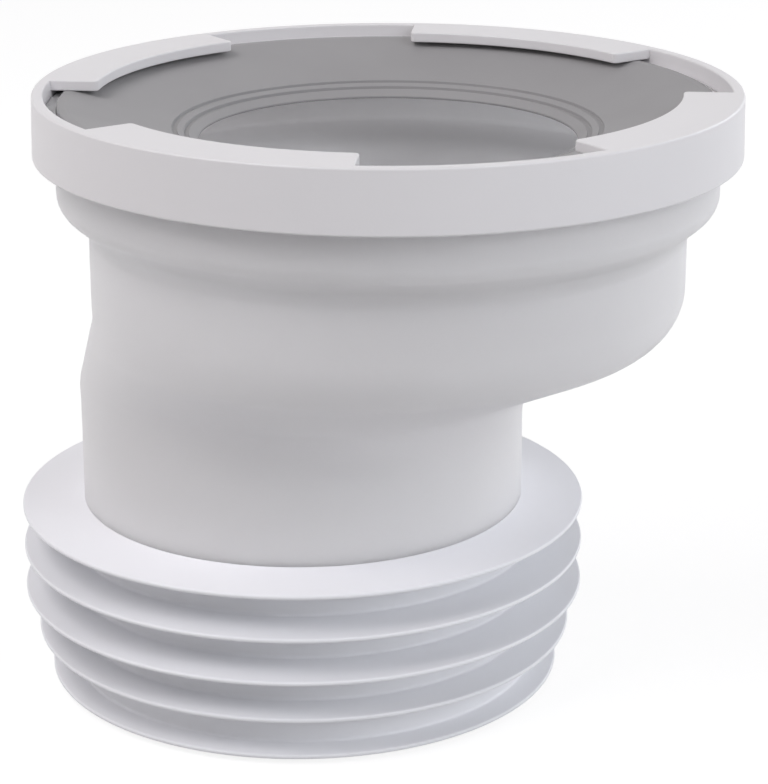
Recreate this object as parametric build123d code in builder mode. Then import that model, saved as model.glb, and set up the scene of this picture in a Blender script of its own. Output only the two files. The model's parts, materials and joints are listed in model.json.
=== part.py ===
from build123d import *
import math
import os

os.makedirs("parts", exist_ok=True)

# Offset pan connector. Millimetres, +Z up, origin on the spigot axis at the outlet end.
# The socket that takes the pan outlet stands to the +X side of the spigot.

# Body, from the outlet end upwards
wall = 2.5
spigot_radius = 46.6
spigot_length = 65.2
bend_height = 15.3
bend_round = 12.0
socket_offset = 20.0
socket_radius = 60.75
socket_length = 20.4
shoulder_step = 6.2
shoulder_height = 5.1
shoulder_round = 4.0
shoulder_hollow = 5.0
neck_length = 14.3
flange_step = 1.75
flange_thickness = 4.2
flange_lip = 2.45
seat_depth = 1.8
outlet_chamfer = 0.5

# Eccentric bend: its level sections, and how much higher it lies inside than outside
bend_sections = 19
floor_lift = 1.4

# Bead on the spigot that holds the outlet seal
bead_height = 0.9
bead_foot = 4.0
bead_crown = 1.8
bead_level = 14.0

# Outlet seal
sleeve_thickness = 2.75
sleeve_setback = 0.8
fin_count = 5
full_fins = 3
fin_reach = 10.3
fin_step_in = 2.55
fin_pitch = 9.1
first_fin_level = 1.75
fin_tip = 0.9
fin_tip_chamfer = 0.25
fin_root = 2.0
fin_droop = 0.75

# Retaining collar
collar_clearance = 0.15
collar_wall = 2.3
collar_draft = 0.3
collar_height = 12.5
collar_top_round = 0.5
tab_count = 4
tab_thickness = 2.2
tab_reach = 9.85
tab_arc = 50.0
tab_middle = 85.2
tab_corner_round = 1.0
snap_reach = 1.55
snap_land = 0.8
snap_ramp = 3.0
snap_arc = 34.0

# Inlet seal
seal_clearance = 0.1
rim_proud = 1.2
rim_land = 1.9
funnel_drop = 5.55
membrane = 2.2
groove_width = 1.0
groove_depth = 0.5
groove_pitch = 2.4
groove_drop = 0.85
lip_radius = 38.2
lip_drop = 1.45
lip_edge = 0.5
hem_thickness = 2.4
hem_length = 4.0

# Heights that follow from the lengths above
bend_top = spigot_length + bend_height
shoulder_low = bend_top + socket_length
shoulder_high = shoulder_low + shoulder_height
flange_bottom = shoulder_high + neck_length
flange_top = flange_bottom + flange_thickness
seat_level = flange_top - seat_depth
tab_underside = flange_top + rim_proud
collar_top = tab_underside + tab_thickness
collar_bottom = collar_top - collar_height

# Radii that follow from the sizes above
spigot_bore = spigot_radius - wall
neck_radius = socket_radius + shoulder_step
flange_radius = neck_radius + flange_step
seat_radius = flange_radius - flange_lip
collar_bore = flange_radius + collar_clearance
collar_radius = collar_bore + collar_wall
tab_radius = collar_bore - tab_reach
sleeve_radius = spigot_radius + sleeve_thickness
fin_radius = sleeve_radius + fin_reach

# The bend's wall moves this far out on the socket's side and on the opposite side.
# Its rounded corners reach past the sharp ones at the top of the spigot and the foot of the socket.
near_run = socket_radius + socket_offset - spigot_radius
far_run = socket_radius - socket_offset - spigot_radius
bend_reach = bend_round * math.tan(math.atan2(near_run, bend_height) / 2)
bend_low = spigot_length - bend_reach
bend_high = bend_top + bend_reach

# The shoulder's inner wall lies one wall thickness inside the outer one
shoulder_slope = math.atan2(shoulder_height, shoulder_step)
shoulder_rise = wall * math.tan((math.pi / 2 - shoulder_slope) / 2)

# Corners of the spigot's bead, rooted in its wall
bead_corners = [
    (spigot_radius - wall / 2, bead_level - bead_foot / 2),
    (spigot_radius, bead_level - bead_foot / 2),
    (spigot_radius + bead_height, bead_level - bead_crown / 2),
    (spigot_radius + bead_height, bead_level + bead_crown / 2),
    (spigot_radius, bead_level + bead_foot / 2),
    (spigot_radius - wall / 2, bead_level + bead_foot / 2),
]

socket_axis = Axis((socket_offset, 0, 0), (0, 0, 1))


def socket_section(angle):
    """Upright plane through the socket axis, turned about it by an angle"""
    across = Vector(1, 0, 0).rotate(Axis.Z, angle)
    return Plane((socket_offset, 0, 0), x_dir=across, z_dir=across.cross(Vector(0, 0, 1)))


def bend_wall(level, run):
    """How far the bend's wall has moved out at a level, on a slant with both corners rounded"""
    lean = math.atan2(abs(run), bend_height)
    reach = bend_round * math.tan(lean / 2)
    arc_height = bend_round * math.sin(lean)
    above_start = level - (spigot_length - reach)
    below_end = bend_top + reach - level
    if above_start < arc_height:
        moved = bend_round - math.sqrt(bend_round**2 - max(0, above_start) ** 2)
    elif below_end < arc_height:
        moved = abs(run) - bend_round + math.sqrt(bend_round**2 - max(0, below_end) ** 2)
    else:
        moved = abs(run) * (level - spigot_length) / bend_height
    return math.copysign(moved, run)


def bend_circle(step, inset, lift):
    """Height, centre and radius of one level circle of the bend, which spans from its far wall to its near wall"""
    level = bend_low + (bend_high - bend_low) * step / (bend_sections - 1)
    near = spigot_radius + bend_wall(level, near_run)
    far = spigot_radius + bend_wall(level, far_run)
    return level + lift, (near - far) / 2, (near + far) / 2 - inset


def socket_line(inset, rise, bottom, top):
    """Corners of the socket's wall from the bend up to the mouth"""
    return [
        (socket_radius - inset, bottom),
        (socket_radius - inset, shoulder_low + rise),
        (neck_radius - inset, shoulder_high + rise),
        (neck_radius - inset, top),
    ]


with BuildPart() as body:
    # Outside: socket, flange, bend and spigot
    with BuildSketch(socket_section(0)):
        with BuildLine():
            outside = FilletPolyline(
                *socket_line(0, 0, bend_high, flange_top), radius=[shoulder_hollow, shoulder_round]
            )
            Polyline(outside @ 1, (0, flange_top), (0, bend_high), outside @ 0)
        make_face()
    revolve(axis=socket_axis)
    with BuildSketch(Plane.XY.offset(flange_bottom)):
        with Locations((socket_offset, 0)):
            Circle(flange_radius)
    extrude(amount=flange_thickness)
    for step in range(bend_sections):
        level, across, radius = bend_circle(step, 0, 0)
        with BuildSketch(Plane.XY.offset(level)):
            with Locations((across, 0)):
                Circle(radius)
    loft()
    with BuildSketch():
        Circle(spigot_radius)
    extrude(amount=bend_low)
    with BuildSketch(Plane.XZ):
        with BuildLine():
            Polyline(*bead_corners, close=True)
        make_face()
    revolve(axis=Axis.Z)
    # Inside: seat for the seal, socket, bend and waterway
    with BuildSketch(Plane.XY.offset(seat_level)):
        with Locations((socket_offset, 0)):
            Circle(seat_radius)
    extrude(amount=seat_depth, mode=Mode.SUBTRACT)
    with BuildSketch(socket_section(0)):
        with BuildLine():
            inside = FilletPolyline(
                *socket_line(wall, shoulder_rise, bend_high + floor_lift, seat_level),
                radius=[shoulder_hollow + wall, shoulder_round - wall],
            )
            Polyline(inside @ 1, (0, seat_level), (0, bend_high + floor_lift), inside @ 0)
        make_face()
    revolve(axis=socket_axis, mode=Mode.SUBTRACT)
    for step in range(bend_sections):
        level, across, radius = bend_circle(step, wall, floor_lift)
        with BuildSketch(Plane.XY.offset(level)):
            with Locations((across, 0)):
                Circle(radius)
    loft(mode=Mode.SUBTRACT)
    with BuildSketch():
        Circle(spigot_bore)
    extrude(amount=bend_low + floor_lift, mode=Mode.SUBTRACT)
    outlet_edge = body.edges().filter_by(GeomType.CIRCLE).group_by(Axis.Z)[0].sort_by(SortBy.RADIUS)[-1]
    chamfer(outlet_edge, length=outlet_chamfer)

with BuildPart() as outlet_seal:
    with BuildSketch(Plane.XZ) as fins:
        top_fin_level = first_fin_level + (fin_count - 1) * fin_pitch
        with Locations((spigot_radius, sleeve_setback)):
            Rectangle(sleeve_thickness, top_fin_level - sleeve_setback, align=(Align.MIN, Align.MIN))
        for number in range(fin_count):
            level = first_fin_level + number * fin_pitch
            short_by = fin_step_in * max(0, fin_count - full_fins - number)
            tip_radius = fin_radius - short_by
            root_top = level + fin_tip / 2 + fin_droop
            with BuildLine():
                Polyline(
                    (spigot_radius, root_top),
                    (tip_radius, level + fin_tip / 2),
                    (tip_radius, level - fin_tip / 2),
                    (spigot_radius, root_top - fin_root),
                    close=True,
                )
            make_face()
        tips = fins.vertices().filter_by(lambda corner: corner.X > sleeve_radius + fin_tip)
        chamfer(tips, length=fin_tip_chamfer)
        with BuildLine():
            Polyline(*bead_corners, close=True)
        make_face(mode=Mode.SUBTRACT)
    revolve(axis=Axis.Z)

with BuildPart() as retaining_collar:
    with BuildSketch(socket_section(0)):
        with BuildLine():
            Polyline(
                (collar_bore, collar_bottom),
                (collar_radius + collar_draft, collar_bottom),
                (collar_radius, collar_top),
                (collar_bore, collar_top),
                close=True,
            )
        make_face()
    revolve(axis=socket_axis)
    with BuildSketch(Plane.XY.offset(tab_underside)):
        for number in range(tab_count):
            start = tab_middle - tab_arc / 2 + number * 360 / tab_count
            with BuildLine():
                inner = CenterArc((socket_offset, 0), tab_radius, start, tab_arc)
                outer = CenterArc((socket_offset, 0), collar_bore + collar_wall / 2, start, tab_arc)
                Line(inner @ 0, outer @ 0)
                Line(inner @ 1, outer @ 1)
            make_face()
    extrude(amount=tab_thickness)
    tab_corners = retaining_collar.edges().filter_by(Axis.Z)
    tab_corners = tab_corners.filter_by(
        lambda edge: math.hypot(edge.center().X - socket_offset, edge.center().Y) < tab_radius + tab_reach / 2
    )
    fillet(tab_corners, radius=tab_corner_round)
    rings = retaining_collar.edges().filter_by(GeomType.CIRCLE)
    top_rim = rings.filter_by(lambda edge: abs(edge.radius - collar_radius) < collar_draft / 2)
    fillet(top_rim, radius=collar_top_round)
    # Snap beads that catch under the flange, in the gaps between the tabs
    for number in range(tab_count):
        start = tab_middle + (number + 0.5) * 360 / tab_count - snap_arc / 2
        with BuildSketch(socket_section(start)):
            with BuildLine():
                Polyline(
                    (collar_bore + collar_wall / 2, flange_bottom),
                    (collar_bore - snap_reach, flange_bottom),
                    (collar_bore - snap_reach, flange_bottom - snap_land),
                    (collar_bore, flange_bottom - snap_land - snap_ramp),
                    (collar_bore + collar_wall / 2, flange_bottom - snap_land - snap_ramp),
                    close=True,
                )
            make_face()
        revolve(axis=socket_axis, revolution_arc=snap_arc)

with BuildPart() as inlet_seal:
    with BuildSketch(socket_section(0)) as ring:
        rim_radius = seat_radius - seal_clearance
        hem_radius = neck_radius - wall - seal_clearance
        rim_edge = rim_radius - rim_land
        groove_outer = lip_radius + 2 * groove_pitch
        groove_inner = lip_radius + groove_pitch
        funnel_low = tab_underside - funnel_drop
        lip_top = funnel_low - groove_drop - lip_drop
        funnel_slope = funnel_drop / (rim_edge - groove_outer)
        hem_inside = hem_radius - hem_thickness
        hem_corner = tab_underside - (rim_edge - hem_inside) * funnel_slope - membrane
        with BuildLine():
            Polyline(
                (rim_radius, seat_level),
                (rim_radius, tab_underside),
                (rim_edge, tab_underside),
                (groove_outer, funnel_low),
                (groove_inner, funnel_low - groove_drop),
                (lip_radius, lip_top),
                (lip_radius, lip_top - lip_edge),
                (groove_outer, funnel_low - membrane),
                (hem_inside, hem_corner),
                (hem_inside, seat_level - hem_length),
                (hem_radius, seat_level - hem_length),
                (hem_radius, seat_level),
                close=True,
            )
        make_face()
        with Locations((groove_outer, funnel_low), (groove_inner, funnel_low - groove_drop)):
            Rectangle(groove_width, 2 * groove_depth, mode=Mode.SUBTRACT)
    revolve(axis=socket_axis)

body.part.label = "body"
retaining_collar.part.label = "retaining_collar"
inlet_seal.part.label = "inlet_seal"
outlet_seal.part.label = "outlet_seal"
export_step(body.part, "parts/body.step")
export_step(retaining_collar.part, "parts/retaining_collar.step")
export_step(inlet_seal.part, "parts/inlet_seal.step")
export_step(outlet_seal.part, "parts/outlet_seal.step")
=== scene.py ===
import json
import math
from typing import NamedTuple

import bmesh
import bpy
from bpy.props import FloatProperty, FloatVectorProperty, IntProperty, PointerProperty
from bpy.types import Operator, Panel, PropertyGroup
from mathutils import Matrix, Vector


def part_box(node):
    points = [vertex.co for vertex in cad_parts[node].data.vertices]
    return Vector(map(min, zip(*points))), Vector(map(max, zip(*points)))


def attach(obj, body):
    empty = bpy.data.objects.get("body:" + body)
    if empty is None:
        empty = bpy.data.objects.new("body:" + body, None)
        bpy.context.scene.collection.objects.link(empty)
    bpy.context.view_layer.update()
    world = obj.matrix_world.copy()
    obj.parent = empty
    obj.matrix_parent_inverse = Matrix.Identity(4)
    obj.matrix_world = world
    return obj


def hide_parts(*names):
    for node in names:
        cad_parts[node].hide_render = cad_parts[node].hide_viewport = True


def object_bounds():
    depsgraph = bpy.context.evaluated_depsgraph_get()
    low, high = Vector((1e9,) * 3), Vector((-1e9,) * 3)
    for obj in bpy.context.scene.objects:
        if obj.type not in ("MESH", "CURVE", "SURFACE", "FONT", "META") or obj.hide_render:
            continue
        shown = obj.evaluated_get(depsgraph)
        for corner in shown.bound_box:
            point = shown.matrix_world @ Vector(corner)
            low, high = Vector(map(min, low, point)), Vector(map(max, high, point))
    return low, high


bl_info = {
    "name": "Offset Pan Connector",
    "version": (1, 0, 0),
    "blender": (4, 5, 0),
    "location": "View3D > Sidebar > Pan Connector",
    "description": "Models and finishes the four pieces of an offset pan connector in its CAD frame",
    "category": "Object",
}

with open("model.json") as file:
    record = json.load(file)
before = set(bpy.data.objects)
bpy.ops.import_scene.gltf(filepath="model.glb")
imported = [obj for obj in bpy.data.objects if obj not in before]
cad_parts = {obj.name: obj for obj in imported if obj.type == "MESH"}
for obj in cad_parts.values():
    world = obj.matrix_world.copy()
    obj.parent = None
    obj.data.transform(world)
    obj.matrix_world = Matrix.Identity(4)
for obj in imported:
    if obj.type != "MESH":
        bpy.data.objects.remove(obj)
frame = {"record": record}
CAD_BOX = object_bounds()

MM = 0.001

# Sizes of the CAD part that the dressed pieces take over, in millimetres
MOUNTS = {mount["name"]: mount for mount in frame["record"]["mounts"]}
BORE_RADIUS = MOUNTS["outlet_bore"]["dims"]["r_mm"]
FIN_RADIUS = MOUNTS["outlet_fins"]["dims"]["r_mm"]
LIP_RADIUS = MOUNTS["inlet_lip"]["dims"]["r_mm"]
LIP_EDGE = MOUNTS["inlet_lip"]["dims"]["length_mm"]
SOCKET_OFFSET = MOUNTS["inlet_lip"]["pos_m"][0] / MM
FLANGE_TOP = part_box("body")[1].z / MM

# Levels of the CAD part that the collar and the inlet seal take over, in metres
COLLAR_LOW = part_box("retaining_collar")[0].z
COLLAR_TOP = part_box("retaining_collar")[1].z
SEAL_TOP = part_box("inlet_seal")[1].z

# Edges round each turned piece. The collar's come at whole degrees from a tab's middle,
# where its tabs start and end.
SEGMENTS = 256
COLLAR_SEGMENTS = 360

# Level circles in the bend, and steps in a rounded corner of 1 mm for each radian that it turns
BEND_STEPS = 48
ROUND_STEPS = 6
FEWEST_ROUND_STEPS = 2

# Corners that turn by more than this stay crisp, and rounded ones turn by less at each step
CRISP_TURN = math.radians(40)

# Edges of the collar that are rounded off: the upright corners of its tabs, then its outer edges.
# An edge is upright when more than this share of its direction points up or down.
TAB_CORNER_TURN = math.radians(60)
TAB_CORNER_STEPS = 4
UPRIGHT_SHARE = 0.9
OUTER_EDGE_TURN = math.radians(50)
OUTER_EDGE_STEPS = 3

# How near to the collar's bore the faces of its inner wall lie
WALL_TOLERANCE = MM / 10

# Surface of the mouldings
MOTTLE_DETAIL = 3.0
GRAIN_DETAIL = 2.0
GRAIN_STRENGTH = 0.35
GLOSS_SPREAD = 0.1
NOISE_MIDDLE = 0.5

# Each lamp's bearing from the camera's right-hand side and its height above the floor,
# in degrees, and which of the stage's lights it has
LAMPS = {
    "left": (180, 20, "warm"),
    "high_left": (180, 60, "warm"),
    "front_left": (225, 50, "warm"),
    "front_right": (315, 30, "cool"),
    "low_right": (345, 5, "cool"),
    "back_right": (40, 20, "cool"),
}


def length(name, description, millimetres):
    """A length that the user can change, with its default in millimetres"""
    return FloatProperty(
        name=name,
        description=description,
        default=millimetres * MM,
        min=0.0,
        precision=5,
        unit="LENGTH",
    )


def angle(name, description, degrees):
    """An angle that the user can change, with its default in degrees"""
    return FloatProperty(
        name=name, description=description, default=math.radians(degrees), subtype="ANGLE"
    )


def share(name, description, default):
    """A value from 0 to 1 that the user can change"""
    return FloatProperty(
        name=name, description=description, default=default, min=0.0, max=1.0, subtype="FACTOR"
    )


def how_many(name, description, default):
    """A number of features that the user can change"""
    return IntProperty(name=name, description=description, default=default, min=1)


def colour(name, description, default):
    """A colour that the user can change"""
    return FloatVectorProperty(
        name=name, description=description, default=default, min=0.0, max=1.0, size=3, subtype="COLOR"
    )


def watts(name, description, default):
    """A lamp's power that the user can change"""
    return FloatProperty(name=name, description=description, default=default, min=0.0, unit="POWER")


class BodySizes(PropertyGroup):
    wall: length("Wall", "Thickness of the moulded wall", 2.5)
    bore_radius: length("Bore radius", "Radius of the waterway in the spigot", BORE_RADIUS)
    spigot_length: length("Spigot length", "Length of the spigot up to the bend's lower corner", 65.2)
    bend_height: length("Bend height", "Height of the bend between its corners", 15.3)
    bend_round: length("Bend round", "Radius of the bend's corners", 12.0)
    socket_offset: length("Offset", "Distance from the spigot's axis to the socket's", SOCKET_OFFSET)
    floor_lift: length("Floor lift", "How much higher the bend lies inside than outside", 1.4)
    socket_radius: length("Socket radius", "Outer radius of the socket", 60.75)
    socket_length: length("Socket length", "Length from the bend's upper corner to the shoulder", 20.4)
    shoulder_step: length("Shoulder step", "How much wider the neck is than the socket", 6.2)
    shoulder_height: length("Shoulder height", "Height of the shoulder", 5.1)
    shoulder_round: length("Shoulder round", "Radius of the shoulder's upper corner", 4.0)
    shoulder_hollow: length("Shoulder hollow", "Radius of the shoulder's lower corner", 5.0)
    flange_top: length("Flange top", "Level of the flange at the mouth", FLANGE_TOP)
    flange_step: length("Flange step", "How far the flange stands out from the neck", 1.75)
    flange_thickness: length("Flange thickness", "Thickness of the flange", 4.2)
    flange_lip: length("Flange lip", "Width of the flange's lip round the seal's seat", 2.45)
    seat_depth: length("Seat depth", "Depth of the seal's seat in the flange", 1.8)
    outlet_chamfer: length("Outlet chamfer", "Chamfer at the outlet end", 0.5)
    bead_height: length("Bead height", "Height of the bead that holds the outlet seal", 0.9)
    bead_foot: length("Bead foot", "Width of that bead at its foot", 4.0)
    bead_crown: length("Bead crown", "Width of that bead at its crown", 1.8)
    bead_level: length("Bead level", "Level of that bead above the outlet end", 14.0)
    edge_round: length("Edge round", "Radius of the moulding's plain corners", 0.35)


class OutletSealSizes(PropertyGroup):
    sleeve_thickness: length("Sleeve", "Thickness of the sleeve on the spigot", 2.75)
    sleeve_setback: length("Setback", "How far the sleeve stops short of the outlet end", 0.8)
    fin_count: how_many("Fins", "Number of fins", 5)
    full_fins: how_many("Full fins", "Number of fins at the full radius", 3)
    fin_radius: length("Fin radius", "Radius of the full fins", FIN_RADIUS)
    fin_step_in: length("Fin step", "How much smaller each lower fin is", 2.55)
    fin_pitch: length("Fin pitch", "Distance from fin to fin", 9.1)
    first_fin_level: length("First fin", "Level of the lowest fin's tip", 1.75)
    fin_tip: length("Fin tip", "Thickness of a fin at its tip", 0.9)
    fin_root: length("Fin root", "Thickness of a fin at its root", 2.0)
    fin_droop: length("Fin droop", "How much lower a fin's tip is than its root", 0.75)
    tip_round: length("Tip round", "Radius of a fin's tip", 0.4)
    root_hollow: length("Root hollow", "Radius where a fin leaves the sleeve", 0.6)


class CollarSizes(PropertyGroup):
    clearance: length("Clearance", "Gap between the collar and the flange", 0.15)
    wall: length("Wall", "Thickness of the collar", 2.3)
    draft: length("Draft", "How much wider the collar is at its lower edge", 0.3)
    top_round: length("Top round", "Radius of the collar's upper edge", 0.5)
    edge_round: length("Edge round", "Radius of the collar's other edges", 0.45)
    tab_count: how_many("Tabs", "Number of tabs that hold the seal", 4)
    tab_reach: length("Tab reach", "How far a tab stands inwards", 9.85)
    tab_arc: angle("Tab arc", "Angle that a tab covers", 50.0)
    tab_middle: angle("Tab middle", "Angle of the first tab's middle", 85.2)
    tab_corner: length("Tab corner", "Radius of a tab's corners", 1.0)
    snap_reach: length("Snap reach", "How far a snap bead stands inwards", 1.55)
    snap_land: length("Snap land", "Height of a snap bead's crown", 0.8)
    snap_ramp: length("Snap ramp", "Height of a snap bead's ramp", 3.0)
    snap_arc: angle("Snap arc", "Angle that a snap bead covers", 34.0)


class InletSealSizes(PropertyGroup):
    clearance: length("Clearance", "Gap between the seal and its seat", 0.1)
    rim_land: length("Rim", "Width of the clamped rim", 1.9)
    funnel_drop: length("Funnel drop", "Depth of the funnel", 5.55)
    membrane: length("Membrane", "Thickness of the funnel", 2.2)
    groove_width: length("Groove width", "Width of each groove", 1.0)
    groove_depth: length("Groove depth", "Depth of each groove", 0.5)
    groove_pitch: length("Groove pitch", "Distance from groove to groove", 2.4)
    groove_drop: length("Groove drop", "Step down from groove to groove", 0.85)
    lip_radius: length("Lip radius", "Radius of the hole", LIP_RADIUS)
    lip_drop: length("Lip drop", "Step down from the last groove to the lip", 1.45)
    lip_edge: length("Lip edge", "Thickness of the lip at its edge", LIP_EDGE)
    hem_thickness: length("Hem", "Thickness of the hem inside the neck", 2.4)
    hem_length: length("Hem length", "Height of the hem below the seat", 4.0)
    edge_round: length("Edge round", "Radius of the rubber's corners", 0.3)
    fine_round: length("Fine round", "Radius of the edges of the grooves and the lip", 0.15)


class Finishes(PropertyGroup):
    body: colour("Body", "Colour of the body's white plastic", (0.95, 0.94, 0.96))
    body_shade: colour("Body mottle", "Colour that the body drifts towards", (0.93, 0.92, 0.943))
    body_depth: length("Body depth", "How far light wanders in the body's thin walls", 12.5)
    collar: colour("Collar", "Colour of the collar's white plastic", (0.757, 0.75, 0.757))
    collar_shade: colour("Collar mottle", "Colour that the collar drifts towards", (0.74, 0.733, 0.741))
    plastic_roughness: share("Plastic roughness", "Roughness of the white plastic", 0.42)
    rubber: colour("Grey rubber", "Colour of the inlet seal", (0.316, 0.312, 0.316))
    rubber_shade: colour("Rubber mottle", "Colour that the rubber drifts towards", (0.296, 0.292, 0.296))
    rubber_roughness: share("Rubber roughness", "Roughness of the grey rubber", 0.62)
    fins: colour("Fins", "Colour of the outlet seal", (0.84, 0.848, 0.87))
    fins_shade: colour("Fin mottle", "Colour that the fins drift towards", (0.822, 0.83, 0.852))
    fins_roughness: share("Fin roughness", "Roughness of the fins", 0.5)


class StageSettings(PropertyGroup):
    floor_size: length("Floor", "Half the width of the floor", 4000.0)
    floor_colour: colour("Floor colour", "Colour of the floor", (0.6, 0.6, 0.6))
    floor_roughness: share("Floor roughness", "Roughness of the floor", 0.9)
    floor_gloss: share("Floor gloss", "Strength of the floor's reflections", 0.1)
    floor_whitening: share("Whitening", "How far the floor that the camera sees is plain white", 0.6)
    floor_white: FloatProperty(
        name="Floor white", description="Brightness of that plain white", default=1.4, min=0.0
    )
    sky_strength: share("Sky strength", "Strength of the light from all round", 0.2)
    left_watts: watts("Left lamp", "Power of the lamp at the left", 2.67)
    high_left_watts: watts("High left lamp", "Power of the lamp high at the left", 3.14)
    front_left_watts: watts("Front left lamp", "Power of the lamp at the front left", 5.97)
    front_right_watts: watts("Front right lamp", "Power of the lamp at the front right", 5.5)
    low_right_watts: watts("Low right lamp", "Power of the lamp low at the right", 3.78)
    back_right_watts: watts("Back right lamp", "Power of the lamp at the back right", 4.3)
    lamp_size: length("Lamp size", "Width of each square lamp", 600.0)
    lamp_distance: length("Lamp distance", "Distance of each lamp from the connector", 1340.0)
    lamp_target: length("Lamp target", "Level that the lamps stand round", 60.0)
    plain: colour("Plain light", "Colour of the light from all round", (1.0, 0.97, 1.0))
    warm: colour("Warm light", "Colour of the lamps at the left", (1.0, 0.965, 0.98))
    cool: colour("Cool light", "Colour of the lamps at the right", (0.94, 0.955, 1.0))
    view_turn: angle("Turn", "How far the camera and the lamps stand turned round the spigot", 25.18)
    camera_place: FloatVectorProperty(
        name="Camera",
        description="Place of the camera before its turn",
        default=(0.01728, -0.52396, 0.23369),
        subtype="TRANSLATION",
    )
    camera_tilt: angle("Camera tilt", "Tilt of the camera up from straight down", 71.7)
    camera_lens: FloatProperty(name="Lens", description="Focal length", default=119.57, unit="CAMERA")


class ConnectorSettings(PropertyGroup):
    body: PointerProperty(type=BodySizes)
    outlet_seal: PointerProperty(type=OutletSealSizes)
    collar: PointerProperty(type=CollarSizes)
    inlet_seal: PointerProperty(type=InletSealSizes)
    finishes: PointerProperty(type=Finishes)
    stage: PointerProperty(type=StageSettings)


class Ring(NamedTuple):
    """One level circle of a wall, and how far the wall is rounded there"""

    across: float
    radius: float
    level: float
    rounding: float = 0.0


def draw_ring(bm, edges, old, new):
    """Draws the wall on from one circle of edges to the next level circle"""
    grown = bmesh.ops.extrude_edge_only(bm, edges=edges)["geom"]
    verts = [part for part in grown if isinstance(part, bmesh.types.BMVert)]
    stretch = new.radius / old.radius
    centre = Matrix.Translation((-old.across, 0, 0))
    bmesh.ops.scale(bm, vec=(stretch, stretch, 1), space=centre, verts=verts)
    bmesh.ops.translate(bm, vec=(new.across - old.across, 0, new.level - old.level), verts=verts)
    return [part for part in grown if isinstance(part, bmesh.types.BMEdge) and part.is_boundary]


def round_off(bm, edges, offset, segments):
    """Rounds edges off, from an offset to each side of them"""
    bmesh.ops.bevel(
        bm,
        geom=edges,
        offset=offset,
        offset_type="OFFSET",
        affect="EDGES",
        segments=segments,
        profile=0.5,
        material=-1,
        clamp_overlap=True,
    )


def turn_at(before, ring, after):
    """Angle by which the wall's outline turns at a circle"""
    arrive = Vector((ring.radius - before.radius, ring.level - before.level))
    leave = Vector((after.radius - ring.radius, after.level - ring.level))
    return arrive.angle(leave)


def mould_wall(rings, segments):
    """A closed wall through level circles, with its corners rounded"""
    bm = bmesh.new()
    first = rings[0]
    place = Matrix.Translation((first.across, 0, first.level))
    bmesh.ops.create_circle(bm, segments=segments, radius=first.radius, matrix=place)
    loops = [bm.edges[:]]
    for old, new in zip(rings, rings[1:]):
        loops.append(draw_ring(bm, loops[-1], old, new))
    bmesh.ops.bridge_loops(bm, edges=loops[0] + loops[-1])
    bmesh.ops.recalc_face_normals(bm, faces=bm.faces[:])
    for number, ring in enumerate(rings):
        if ring.rounding:
            turn = turn_at(rings[number - 1], ring, rings[(number + 1) % len(rings)])
            steps = round(turn * ROUND_STEPS * math.sqrt(ring.rounding / MM))
            offset = ring.rounding * math.tan(turn / 2)
            round_off(bm, loops[number], offset, max(FEWEST_ROUND_STEPS, steps))
    return bm


def place_piece(bm, name, node, material):
    """Turns a finished shape into a piece that stands for its CAD node"""
    mesh = bpy.data.meshes.new(name)
    bm.to_mesh(mesh)
    bm.free()
    mesh.shade_smooth()
    mesh.set_sharp_from_angle(angle=CRISP_TURN)
    mesh.materials.append(material)
    piece = bpy.data.objects.new(name, mesh)
    bpy.context.scene.collection.objects.link(piece)
    shading = piece.modifiers.new("Even shading", "WEIGHTED_NORMAL")
    shading.keep_sharp = True
    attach(piece, "root")
    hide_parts(node)


def bend_reach(body, run):
    """How far the bend's rounded corners reach past its sharp ones where its wall moves out by a run"""
    return body.bend_round * math.tan(math.atan2(abs(run), body.bend_height) / 2)


def bend_wall(body, level, run):
    """How far the bend's wall has moved out at a level, on a slant with both corners rounded"""
    reach = bend_reach(body, run)
    arc_height = body.bend_round * math.sin(math.atan2(abs(run), body.bend_height))
    above_start = level - (body.spigot_length - reach)
    below_end = body.spigot_length + body.bend_height + reach - level
    if above_start < arc_height:
        moved = body.bend_round - math.sqrt(body.bend_round**2 - max(0, above_start) ** 2)
    elif below_end < arc_height:
        moved = abs(run) - body.bend_round + math.sqrt(body.bend_round**2 - max(0, below_end) ** 2)
    else:
        moved = abs(run) * (level - body.spigot_length) / body.bend_height
    return math.copysign(moved, run)


def bend_rings(body, inset, lift):
    """Level circles of the eccentric bend, each from its far wall to its near wall"""
    spigot_radius = body.bore_radius + body.wall
    near_run = body.socket_radius + body.socket_offset - spigot_radius
    far_run = body.socket_radius - body.socket_offset - spigot_radius
    reach = bend_reach(body, near_run)
    rings = []
    for step in range(BEND_STEPS + 1):
        level = body.spigot_length - reach + (body.bend_height + 2 * reach) * step / BEND_STEPS
        near = spigot_radius + bend_wall(body, level, near_run)
        far = spigot_radius + bend_wall(body, level, far_run)
        rings.append(Ring((near - far) / 2, (near + far) / 2 - inset, level + lift))
    return rings


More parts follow.
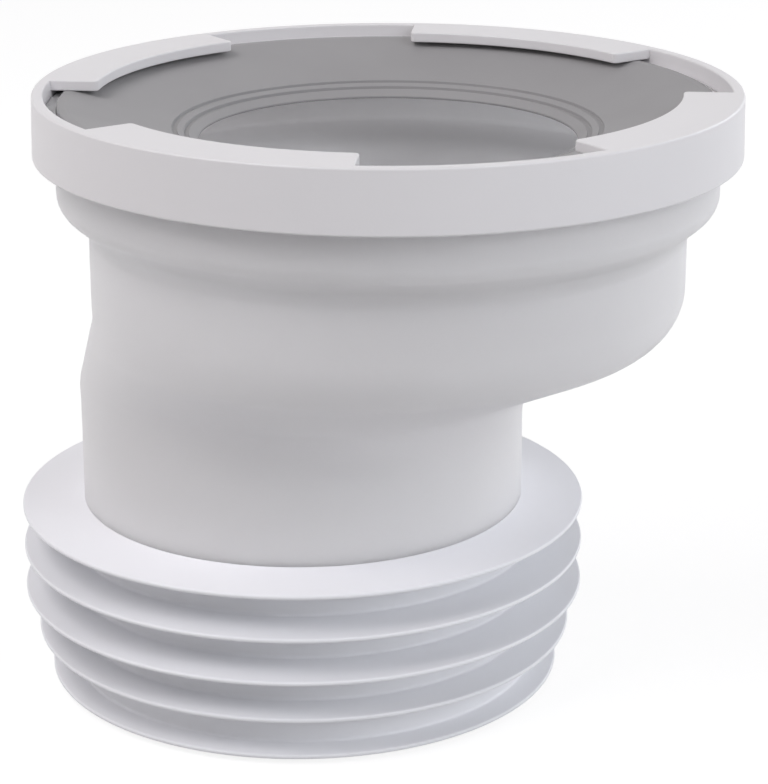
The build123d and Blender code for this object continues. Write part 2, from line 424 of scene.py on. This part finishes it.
def body_rings(body):
    """Level circles of the body: up its outside from the outlet end and down its inside"""
    across = body.socket_offset
    spigot_radius = body.bore_radius + body.wall
    neck_radius = body.socket_radius + body.shoulder_step
    neck_bore = neck_radius - body.wall
    socket_bore = body.socket_radius - body.wall
    flange_radius = neck_radius + body.flange_step
    seat_radius = flange_radius - body.flange_lip
    bend_top = body.spigot_length + body.bend_height
    shoulder_low = bend_top + body.socket_length
    shoulder_high = shoulder_low + body.shoulder_height
    seat_level = body.flange_top - body.seat_depth
    flange_bottom = body.flange_top - body.flange_thickness
    slope = math.atan2(body.shoulder_height, body.shoulder_step)
    rise = body.wall * math.tan((math.pi / 2 - slope) / 2)
    edge = body.edge_round
    outside = [
        Ring(0, spigot_radius - body.outlet_chamfer, 0),
        Ring(0, spigot_radius, body.outlet_chamfer),
        *bead_rings(body),
        *bend_rings(body, 0, 0),
        Ring(across, body.socket_radius, shoulder_low, body.shoulder_hollow),
        Ring(across, neck_radius, shoulder_high, body.shoulder_round),
        Ring(across, neck_radius, flange_bottom),
        Ring(across, flange_radius, flange_bottom, edge),
        Ring(across, flange_radius, body.flange_top, edge),
    ]
    inside = [
        Ring(across, seat_radius, body.flange_top, edge),
        Ring(across, seat_radius, seat_level),
        Ring(across, neck_bore, seat_level, edge),
        Ring(across, neck_bore, shoulder_high + rise, body.shoulder_round - body.wall),
        Ring(across, socket_bore, shoulder_low + rise, body.shoulder_hollow + body.wall),
        *reversed(bend_rings(body, body.wall, body.floor_lift)),
        Ring(0, body.bore_radius, 0, edge),
    ]
    return outside + inside


def bead_rings(body):
    """Level circles of the bead that holds the outlet seal on the spigot"""
    spigot_radius = body.bore_radius + body.wall
    crown_radius = spigot_radius + body.bead_height
    return [
        Ring(0, spigot_radius, body.bead_level - body.bead_foot / 2),
        Ring(0, crown_radius, body.bead_level - body.bead_crown / 2),
        Ring(0, crown_radius, body.bead_level + body.bead_crown / 2),
        Ring(0, spigot_radius, body.bead_level + body.bead_foot / 2),
    ]


def fin_rings(seal, number, foot_radius, sleeve_radius):
    """Level circles of one fin, from its underside at the sleeve round its tip and back"""
    level = seal.first_fin_level + number * seal.fin_pitch
    short_by = seal.fin_step_in * max(0, seal.fin_count - seal.full_fins - number)
    tip_radius = seal.fin_radius - short_by
    tip_top = level + seal.fin_tip / 2
    tip_low = level - seal.fin_tip / 2
    root_top = tip_top + seal.fin_droop
    root_low = root_top - seal.fin_root
    out = (sleeve_radius - foot_radius) / (tip_radius - foot_radius)
    sleeve_low = root_low + (tip_low - root_low) * out
    sleeve_top = root_top + (tip_top - root_top) * out
    root = Ring(0, sleeve_radius, sleeve_top, seal.root_hollow)
    spigot_edge = Ring(0, foot_radius, root_top)
    top_fin = number == seal.fin_count - 1
    return [
        Ring(0, sleeve_radius, sleeve_low, seal.root_hollow if number else 0.0),
        Ring(0, tip_radius, tip_low, seal.tip_round),
        Ring(0, tip_radius, tip_top, seal.tip_round),
        spigot_edge if top_fin else root,
    ]


def outlet_seal_rings(body, seal):
    """Level circles of the outlet seal: up its fins and down the inside of its sleeve"""
    foot_radius = body.bore_radius + body.wall
    sleeve_radius = foot_radius + seal.sleeve_thickness
    rings = [Ring(0, foot_radius, seal.sleeve_setback), Ring(0, sleeve_radius, seal.sleeve_setback)]
    for number in range(seal.fin_count):
        rings += fin_rings(seal, number, foot_radius, sleeve_radius)
    return rings + list(reversed(bead_rings(body)))


def collar_radii(settings):
    """Inner and outer radius of the collar, which fits over the flange"""
    body = settings.body
    bore = body.socket_radius + body.shoulder_step + body.flange_step + settings.collar.clearance
    return bore, bore + settings.collar.wall


def snap_levels(settings):
    """Lowest and highest level of the snap beads, which catch under the flange"""
    top = settings.body.flange_top - settings.body.flange_thickness
    return top - settings.collar.snap_land - settings.collar.snap_ramp, top


def collar_rings(settings):
    """Level circles of the collar's plain band, with rows of faces for its tabs and snap beads"""
    collar = settings.collar
    across = settings.body.socket_offset
    bore, radius = collar_radii(settings)
    snap_low, snap_top = snap_levels(settings)
    return [
        Ring(across, bore, COLLAR_LOW),
        Ring(across, radius + collar.draft, COLLAR_LOW, collar.edge_round),
        Ring(across, radius, COLLAR_TOP, collar.top_round),
        Ring(across, bore, COLLAR_TOP),
        Ring(across, bore, SEAL_TOP),
        Ring(across, bore, snap_top),
        Ring(across, bore, snap_low),
    ]


def row_faces(bm, settings, levels, middle, arc):
    """Faces of the collar's inner wall between two levels, in an arc of each of its equal sectors"""
    axis = Vector((settings.body.socket_offset, 0, 0))
    bore, _ = collar_radii(settings)
    sector = math.tau / settings.collar.tab_count
    low, high = levels
    picked = []
    for face in bm.faces:
        centre = face.calc_center_median() - axis
        turned = (math.atan2(centre.y, centre.x) - middle) % sector
        off_middle = min(turned, sector - turned)
        inner = abs(math.hypot(centre.x, centre.y) - bore) < WALL_TOLERANCE
        if inner and low < centre.z < high and off_middle < arc / 2:
            picked.append(face)
    return picked


def push_in(bm, faces, settings, reach):
    """Pushes faces of the collar's inner wall towards its axis and returns their moved corners"""
    region = faces + list({edge for face in faces for edge in face.edges})
    grown = bmesh.ops.extrude_face_region(bm, geom=region)["geom"]
    verts = [part for part in grown if isinstance(part, bmesh.types.BMVert)]
    bore, _ = collar_radii(settings)
    stretch = 1 - reach / bore
    centre = Matrix.Translation((-settings.body.socket_offset, 0, 0))
    bmesh.ops.scale(bm, vec=(stretch, stretch, 1), space=centre, verts=verts)
    return verts


def is_tab_corner(edge):
    """Whether an edge is an upright corner where a tab ends"""
    along = (edge.verts[0].co - edge.verts[1].co).normalized()
    return edge.calc_face_angle() > TAB_CORNER_TURN and abs(along.z) > UPRIGHT_SHARE


def add_tabs(bm, settings):
    """Grows the tabs that hold the seal from the top of the collar's inner wall"""
    collar = settings.collar
    faces = row_faces(bm, settings, (SEAL_TOP, COLLAR_TOP), 0.0, collar.tab_arc)
    verts = push_in(bm, faces, settings, collar.tab_reach)
    edges = {edge for vert in verts for edge in vert.link_edges}
    round_off(bm, [edge for edge in edges if is_tab_corner(edge)], collar.tab_corner, TAB_CORNER_STEPS)


def add_snap_beads(bm, settings):
    """Grows the snap beads midway between the tabs, each with a land above a ramp"""
    collar = settings.collar
    low, top = snap_levels(settings)
    middle = math.pi / collar.tab_count
    faces = row_faces(bm, settings, (low, top), middle, collar.snap_arc)
    verts = push_in(bm, faces, settings, collar.snap_reach)
    ramp_foot = [vert for vert in verts if vert.co.z < top - collar.snap_land]
    bmesh.ops.translate(bm, vec=(0, 0, collar.snap_ramp), verts=ramp_foot)


def collar_shape(settings):
    """The collar: a band with tabs over the seal and snap beads under the flange"""
    collar = settings.collar
    bm = mould_wall(collar_rings(settings), COLLAR_SEGMENTS)
    add_tabs(bm, settings)
    add_snap_beads(bm, settings)
    outer = [edge for edge in bm.edges if edge.is_convex and edge.calc_face_angle() > OUTER_EDGE_TURN]
    round_off(bm, outer, collar.edge_round, OUTER_EDGE_STEPS)
    axis = (settings.body.socket_offset, 0, 0)
    turn = Matrix.Rotation(collar.tab_middle, 3, "Z")
    bmesh.ops.rotate(bm, cent=axis, matrix=turn, verts=bm.verts)
    return bm


def inlet_seal_rings(settings):
    """Level circles of the inlet seal: over its rim, down the funnel, round the lip and to the hem"""
    body = settings.body
    seal = settings.inlet_seal
    across = body.socket_offset
    neck_radius = body.socket_radius + body.shoulder_step
    rim_radius = neck_radius + body.flange_step - body.flange_lip - seal.clearance
    rim_edge = rim_radius - seal.rim_land
    seat_level = body.flange_top - body.seat_depth
    outer_groove = seal.lip_radius + 2 * seal.groove_pitch
    inner_groove = seal.lip_radius + seal.groove_pitch
    funnel_low = SEAL_TOP - seal.funnel_drop
    inner_level = funnel_low - seal.groove_drop
    lip_top = inner_level - seal.lip_drop
    funnel_slope = seal.funnel_drop / (rim_edge - outer_groove)
    hem_radius = neck_radius - body.wall - seal.clearance
    hem_inside = hem_radius - seal.hem_thickness
    hem_corner = SEAL_TOP - (rim_edge - hem_inside) * funnel_slope - seal.membrane
    hem_low = seat_level - seal.hem_length
    edge = seal.edge_round
    rings = [
        Ring(across, rim_radius, seat_level),
        Ring(across, rim_radius, SEAL_TOP, edge),
        Ring(across, rim_edge, SEAL_TOP, edge),
    ]
    slopes = [funnel_slope, seal.groove_drop / seal.groove_pitch, seal.lip_drop / seal.groove_pitch]
    for number, (radius, level) in enumerate([(outer_groove, funnel_low), (inner_groove, inner_level)]):
        rings += groove_rings(across, radius, level, slopes[number], slopes[number + 1], seal)
    rings += [
        Ring(across, seal.lip_radius, lip_top, seal.fine_round),
        Ring(across, seal.lip_radius, lip_top - seal.lip_edge, seal.fine_round),
        Ring(across, outer_groove, funnel_low - seal.membrane),
        Ring(across, hem_inside, hem_corner, edge),
        Ring(across, hem_inside, hem_low, edge),
        Ring(across, hem_radius, hem_low, edge),
        Ring(across, hem_radius, seat_level),
    ]
    return rings


def groove_rings(across, radius, level, slope_out, slope_in, seal):
    """Level circles of one groove in the funnel"""
    half = seal.groove_width / 2
    bottom = level - seal.groove_depth
    return [
        Ring(across, radius + half, level + half * slope_out, seal.fine_round),
        Ring(across, radius + half, bottom, seal.fine_round),
        Ring(across, radius - half, bottom, seal.fine_round),
        Ring(across, radius - half, level - half * slope_in, seal.fine_round),
    ]


def new_node(tree, kind, **values):
    """Adds a node and sets its own values"""
    node = tree.nodes.new(kind)
    for name, value in values.items():
        setattr(node, name, value)
    return node


def noise(tree, coordinates, scale, detail):
    """A noise pattern on object coordinates, with its scale from a socket"""
    pattern = new_node(tree, "ShaderNodeTexNoise")
    pattern.inputs["Detail"].default_value = detail
    tree.links.new(coordinates, pattern.inputs["Vector"])
    tree.links.new(scale, pattern.inputs["Scale"])
    return pattern.outputs["Fac"]


def moulded_grain():
    """Shared surface of the mouldings: slow mottle, uneven gloss and a fine grain"""
    group = bpy.data.node_groups.new("Moulded grain", "ShaderNodeTree")
    for name in ("Mottle Scale", "Grain Scale", "Roughness", "Gloss Spread"):
        group.interface.new_socket(name, in_out="INPUT", socket_type="NodeSocketFloat")
    for name in ("Mottle", "Roughness", "Height"):
        group.interface.new_socket(name, in_out="OUTPUT", socket_type="NodeSocketFloat")
    given = new_node(group, "NodeGroupInput")
    result = new_node(group, "NodeGroupOutput")
    place = new_node(group, "ShaderNodeTexCoord").outputs["Object"]
    mottle = noise(group, place, given.outputs["Mottle Scale"], MOTTLE_DETAIL)
    grain = noise(group, place, given.outputs["Grain Scale"], GRAIN_DETAIL)
    centred = new_node(group, "ShaderNodeMath", operation="SUBTRACT")
    centred.inputs[1].default_value = NOISE_MIDDLE
    spread = new_node(group, "ShaderNodeMath", operation="MULTIPLY_ADD")
    group.links.new(mottle, centred.inputs[0])
    group.links.new(centred.outputs[0], spread.inputs[0])
    group.links.new(given.outputs["Gloss Spread"], spread.inputs[1])
    group.links.new(given.outputs["Roughness"], spread.inputs[2])
    group.links.new(mottle, result.inputs["Mottle"])
    group.links.new(spread.outputs[0], result.inputs["Roughness"])
    group.links.new(grain, result.inputs["Height"])
    return group


def grain_group():
    """The shared grain group, built once"""
    return bpy.data.node_groups.get("Moulded grain") or moulded_grain()


def moulded_material(
    name, base, shade, roughness, mottle_scale, grain_scale, grain_height, light_depth=0.0
):
    """A moulded finish of two close tones, uneven gloss and fine grain, which may let light through"""
    material = bpy.data.materials.new(name)
    material.use_nodes = True
    tree = material.node_tree
    shader = tree.nodes["Principled BSDF"]
    if light_depth:
        shader.inputs["Subsurface Weight"].default_value = 1.0
        shader.inputs["Subsurface Radius"].default_value = (1.0, 1.0, 1.0)
        shader.inputs["Subsurface Scale"].default_value = light_depth
    grain = new_node(tree, "ShaderNodeGroup", node_tree=grain_group())
    grain.inputs["Mottle Scale"].default_value = mottle_scale
    grain.inputs["Grain Scale"].default_value = grain_scale
    grain.inputs["Roughness"].default_value = roughness
    grain.inputs["Gloss Spread"].default_value = GLOSS_SPREAD
    tones = new_node(tree, "ShaderNodeMix", data_type="RGBA")
    tones.inputs["A"].default_value = (*base, 1.0)
    tones.inputs["B"].default_value = (*shade, 1.0)
    bump = new_node(tree, "ShaderNodeBump")
    bump.inputs["Strength"].default_value = GRAIN_STRENGTH
    bump.inputs["Distance"].default_value = grain_height
    tree.links.new(grain.outputs["Mottle"], tones.inputs["Factor"])
    tree.links.new(tones.outputs["Result"], shader.inputs["Base Color"])
    tree.links.new(grain.outputs["Roughness"], shader.inputs["Roughness"])
    tree.links.new(grain.outputs["Height"], bump.inputs["Height"])
    tree.links.new(bump.outputs["Normal"], shader.inputs["Normal"])
    return material


def body_plastic(finishes):
    """White moulded plastic of the body, whose thin walls let light through"""
    return moulded_material(
        "White body plastic",
        finishes.body,
        finishes.body_shade,
        finishes.plastic_roughness,
        mottle_scale=35.0,
        grain_scale=2200.0,
        grain_height=0.04 * MM,
        light_depth=finishes.body_depth,
    )


def collar_plastic(finishes):
    """Denser white plastic of the collar"""
    return moulded_material(
        "White collar plastic",
        finishes.collar,
        finishes.collar_shade,
        finishes.plastic_roughness,
        mottle_scale=45.0,
        grain_scale=2200.0,
        grain_height=0.04 * MM,
    )


def grey_rubber(finishes):
    """Matt grey rubber of the inlet seal"""
    return moulded_material(
        "Grey rubber",
        finishes.rubber,
        finishes.rubber_shade,
        finishes.rubber_roughness,
        mottle_scale=60.0,
        grain_scale=3000.0,
        grain_height=0.06 * MM,
    )


def fin_rubber(finishes):
    """Soft white rubber of the fins"""
    return moulded_material(
        "Soft white rubber",
        finishes.fins,
        finishes.fins_shade,
        finishes.fins_roughness,
        mottle_scale=50.0,
        grain_scale=2600.0,
        grain_height=0.04 * MM,
    )


def seen_directly(tree):
    """A factor that is 1 for rays from the camera, from reflections and through glass"""
    path = new_node(tree, "ShaderNodeLightPath")
    sharp = new_node(tree, "ShaderNodeMath", operation="MAXIMUM")
    seen = new_node(tree, "ShaderNodeMath", operation="MAXIMUM")
    tree.links.new(path.outputs["Is Glossy Ray"], sharp.inputs[0])
    tree.links.new(path.outputs["Is Transmission Ray"], sharp.inputs[1])
    tree.links.new(path.outputs["Is Camera Ray"], seen.inputs[0])
    tree.links.new(sharp.outputs[0], seen.inputs[1])
    return seen.outputs[0]


def floor_material(stage):
    """Pale floor that is nearly plain white to the camera and keeps the object's shadow"""
    material = bpy.data.materials.new("Pale floor")
    material.use_nodes = True
    tree = material.node_tree
    shader = tree.nodes["Principled BSDF"]
    shader.inputs["Base Color"].default_value = (*stage.floor_colour, 1.0)
    shader.inputs["Roughness"].default_value = stage.floor_roughness
    shader.inputs["Specular IOR Level"].default_value = stage.floor_gloss
    white = new_node(tree, "ShaderNodeEmission")
    white.inputs["Strength"].default_value = stage.floor_white
    amount = new_node(tree, "ShaderNodeMath", operation="MULTIPLY")
    amount.inputs[1].default_value = stage.floor_whitening
    mixed = new_node(tree, "ShaderNodeMixShader")
    tree.links.new(seen_directly(tree), amount.inputs[0])
    tree.links.new(amount.outputs[0], mixed.inputs["Fac"])
    tree.links.new(shader.outputs[0], mixed.inputs[1])
    tree.links.new(white.outputs[0], mixed.inputs[2])
    tree.links.new(mixed.outputs[0], tree.nodes["Material Output"].inputs["Surface"])
    return material


def light_from_all_round(stage):
    """Even light from the world, which the camera sees as plain white"""
    world = bpy.data.worlds.new("Studio")
    world.use_nodes = True
    tree = world.node_tree
    light = tree.nodes["Background"]
    light.inputs["Color"].default_value = (*stage.plain, 1.0)
    light.inputs["Strength"].default_value = stage.sky_strength
    white = new_node(tree, "ShaderNodeBackground")
    white.inputs["Color"].default_value = (1.0, 1.0, 1.0, 1.0)
    mixed = new_node(tree, "ShaderNodeMixShader")
    tree.links.new(seen_directly(tree), mixed.inputs["Fac"])
    tree.links.new(light.outputs[0], mixed.inputs[1])
    tree.links.new(white.outputs[0], mixed.inputs[2])
    tree.links.new(mixed.outputs[0], tree.nodes["World Output"].inputs["Surface"])
    bpy.context.scene.world = world


def lay_floor(stage):
    """A plain floor under the connector"""
    bm = bmesh.new()
    bmesh.ops.create_grid(bm, x_segments=1, y_segments=1, size=stage.floor_size)
    mesh = bpy.data.meshes.new("floor")
    bm.to_mesh(mesh)
    bm.free()
    mesh.materials.append(floor_material(stage))
    floor = bpy.data.objects.new("floor", mesh)
    bpy.context.scene.collection.objects.link(floor)


def add_lamp(stage, name, target):
    """A square soft lamp that stands round the connector and is turned towards it"""
    *angles, light = LAMPS[name]
    bearing, height = (math.radians(degrees) for degrees in angles)
    reach = stage.lamp_distance * math.cos(height)
    level = stage.lamp_target + stage.lamp_distance * math.sin(height)
    bearing += stage.view_turn
    place = Vector((reach * math.cos(bearing), reach * math.sin(bearing), level))
    data = bpy.data.lights.new(name, "AREA")
    data.shape = "SQUARE"
    data.size = stage.lamp_size
    data.energy = getattr(stage, f"{name}_watts")
    data.color = getattr(stage, light)
    lamp = bpy.data.objects.new(name, data)
    lamp.location = place
    lamp.rotation_euler = (target - place).to_track_quat("-Z", "Y").to_euler()
    bpy.context.scene.collection.objects.link(lamp)


def add_camera(stage):
    """The photo's camera, turned round the spigot's axis"""
    data = bpy.data.cameras.new("camera")
    data.lens = stage.camera_lens
    camera = bpy.data.objects.new("camera", data)
    camera.location = Matrix.Rotation(stage.view_turn, 3, "Z") @ stage.camera_place
    camera.rotation_euler = (stage.camera_tilt, 0, stage.view_turn)
    bpy.context.scene.collection.objects.link(camera)
    bpy.context.scene.camera = camera


class PAN_CONNECTOR_OT_body(Operator):
    """Model the moulded body with its eccentric bend"""

    bl_idname = "pan_connector.body"
    bl_label = "Body"

    def execute(self, context):
        settings = context.scene.pan_connector
        shape = mould_wall(body_rings(settings.body), SEGMENTS)
        material = body_plastic(settings.finishes)
        place_piece(shape, "body_moulding", "body", material)
        return {"FINISHED"}


class PAN_CONNECTOR_OT_outlet_seal(Operator):
    """Model the finned sleeve on the spigot"""

    bl_idname = "pan_connector.outlet_seal"
    bl_label = "Outlet seal"

    def execute(self, context):
        settings = context.scene.pan_connector
        shape = mould_wall(outlet_seal_rings(settings.body, settings.outlet_seal), SEGMENTS)
        material = fin_rubber(settings.finishes)
        place_piece(shape, "outlet_seal_fins", "outlet_seal", material)
        return {"FINISHED"}


class PAN_CONNECTOR_OT_inlet_seal(Operator):
    """Model the grey seal in the mouth"""

    bl_idname = "pan_connector.inlet_seal"
    bl_label = "Inlet seal"

    def execute(self, context):
        settings = context.scene.pan_connector
        shape = mould_wall(inlet_seal_rings(settings), SEGMENTS)
        material = grey_rubber(settings.finishes)
        place_piece(shape, "inlet_seal_ring", "inlet_seal", material)
        return {"FINISHED"}


class PAN_CONNECTOR_OT_collar(Operator):
    """Model the collar with its tabs and snap beads"""

    bl_idname = "pan_connector.collar"
    bl_label = "Retaining collar"

    def execute(self, context):
        settings = context.scene.pan_connector
        shape = collar_shape(settings)
        material = collar_plastic(settings.finishes)
        place_piece(shape, "collar_moulding", "retaining_collar", material)
        return {"FINISHED"}


class PAN_CONNECTOR_OT_stage(Operator):
    """Lay the floor and set the lamps and the camera"""

    bl_idname = "pan_connector.stage"
    bl_label = "Stage"

    def execute(self, context):
        stage = context.scene.pan_connector.stage
        lay_floor(stage)
        light_from_all_round(stage)
        middle = (CAD_BOX[0] + CAD_BOX[1]) / 2
        for name in LAMPS:
            add_lamp(stage, name, middle)
        add_camera(stage)
        context.scene.view_settings.view_transform = "Standard"
        return {"FINISHED"}


class PAN_CONNECTOR_PT_sidebar(Panel):
    """Lists the steps of the connector and all its settings"""

    bl_label = "Pan Connector"
    bl_idname = "PAN_CONNECTOR_PT_sidebar"
    bl_space_type = "VIEW_3D"
    bl_region_type = "UI"
    bl_category = "Pan Connector"

    def draw(self, context):
        for operator in OPERATORS:
            self.layout.operator(operator.bl_idname)
        settings = context.scene.pan_connector
        for group_name in ConnectorSettings.__annotations__:
            group = getattr(settings, group_name)
            box = self.layout.box()
            for name in group.__annotations__:
                box.prop(group, name)


SETTINGS = (
    BodySizes,
    OutletSealSizes,
    CollarSizes,
    InletSealSizes,
    Finishes,
    StageSettings,
    ConnectorSettings,
)
OPERATORS = (
    PAN_CONNECTOR_OT_body,
    PAN_CONNECTOR_OT_outlet_seal,
    PAN_CONNECTOR_OT_inlet_seal,
    PAN_CONNECTOR_OT_collar,
    PAN_CONNECTOR_OT_stage,
)
CLASSES = (*SETTINGS, *OPERATORS, PAN_CONNECTOR_PT_sidebar)


def register():
    for item in CLASSES:
        bpy.utils.register_class(item)
    bpy.types.Scene.pan_connector = PointerProperty(type=ConnectorSettings)


def unregister():
    del bpy.types.Scene.pan_connector
    for item in reversed(CLASSES):
        bpy.utils.unregister_class(item)


def main():
    register()
    bpy.ops.pan_connector.body()
    bpy.ops.pan_connector.outlet_seal()
    bpy.ops.pan_connector.inlet_seal()
    bpy.ops.pan_connector.collar()
    bpy.ops.pan_connector.stage()


if __name__ == "__main__":
    main()
